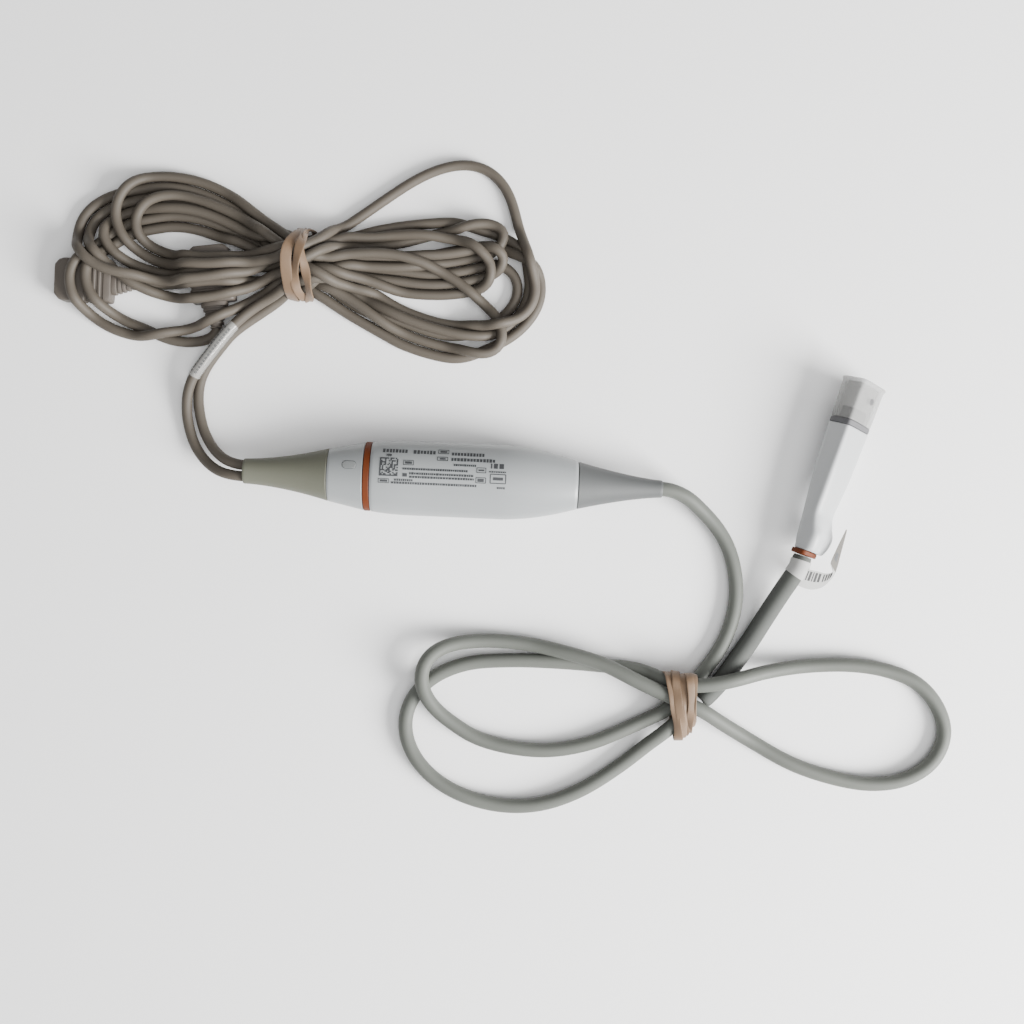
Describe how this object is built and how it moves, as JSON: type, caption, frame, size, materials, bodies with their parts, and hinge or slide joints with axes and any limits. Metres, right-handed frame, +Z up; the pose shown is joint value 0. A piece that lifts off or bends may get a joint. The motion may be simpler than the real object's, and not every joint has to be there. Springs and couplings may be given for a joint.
{
  "type": "inline patient-monitoring adapter cable",
  "caption": "Inline patient-monitoring adapter: sealed electronics pod, sensor leads in a banded hank, looped host cord and a capped host plug.",
  "frame": {"origin": "under the middle of the electronics pod, on the surface everything rests on", "axes": "+X along the pod towards the host cord, +Y to the side the sensor leads' hank lies on, +Z up"},
  "size_m": [0.3576, 0.2575, 0.0237],
  "materials": {
    "white_shell": "satin moulded, light grey-white",
    "rust_ring": "satin moulded, rust orange",
    "window_diffuser": "milky translucent",
    "sage_boot": "soft moulding, sage grey",
    "grey_boot": "soft moulding, neutral grey",
    "dark_seal": "matt",
    "board_laminate": "green solder mask",
    "tinned_steel": "bright tin",
    "chip_black": "moulded epoxy",
    "header_ivory": "moulded",
    "wire_insulation": "four insulation colours",
    "host_cord_jacket": "satin jacket, green grey",
    "lead_jacket": "satin jacket, warm taupe",
    "clear_sleeve": "clear, glossy",
    "lead_moulding": "fine moulded texture, warm taupe",
    "contact_gold": "bright plating",
    "band_rubber": "natural tan rubber, matt",
    "gasket_grey": "matt",
    "contact_block_grey": "moulded",
    "frosted_cap": "frosted translucent",
    "label_paper": "white paper, uncoated"
  },
  "bodies": {
    "module": {"upper_housing": "white_shell", "lower_housing": "white_shell", "patient_end_housing": "white_shell", "colour_ring": "rust_ring", "status_window": "window_diffuser", "lead_boot": "sage_boot", "host_boot": "grey_boot", "lead_end_seal": "dark_seal", "host_end_seal": "dark_seal", "circuit_board": "board_laminate", "shield_can": "tinned_steel", "processor_chip": "chip_black", "memory_chip": "chip_black", "isolation_transformer": "chip_black", "clock_crystal": "tinned_steel", "lead_wire_header": "header_ivory", "host_wire_header": "header_ivory", "supply_capacitor": "tinned_steel", "status_light": "header_ivory", "lead_clamp": "tinned_steel", "host_clamp": "tinned_steel", "lead_wire_1": "wire_insulation", "lead_wire_2": "wire_insulation", "lead_wire_3": "wire_insulation", "lead_wire_4": "wire_insulation", "host_wire_1": "wire_insulation", "host_wire_2": "wire_insulation", "host_wire_3": "wire_insulation", "host_wire_4": "wire_insulation", "host_cord": "host_cord_jacket", "lead_1": "lead_jacket", "lead_2": "lead_jacket", "marker_sleeve": "clear_sleeve", "lead_connector_1": "lead_moulding", "lead_connector_1_tongue": "contact_gold", "lead_connector_1_boot": "lead_moulding", "lead_connector_2": "lead_moulding", "lead_connector_2_tongue": "contact_gold", "lead_connector_2_boot": "lead_moulding", "lead_hank": "lead_jacket", "lead_band": "band_rubber", "host_band": "band_rubber", "plug_housing": "white_shell", "plug_colour_ring": "rust_ring", "plug_gasket": "gasket_grey", "contact_block": "contact_block_grey", "contact_comb": "contact_gold", "plug_board": "board_laminate", "identity_chip": "chip_black", "plug_wire_1": "wire_insulation", "plug_wire_2": "wire_insulation", "strain_relief": "grey_boot", "paper_label": "label_paper"},
    "cap": {"protective_cap": "frosted_cap"}
  },
  "joints": [
    {"name": "cap_slide", "type": "slide", "parent": "module", "child": "cap", "axis": [0.2957, 0.9553, 0], "range_m": [0, 0.02]}
  ]
}
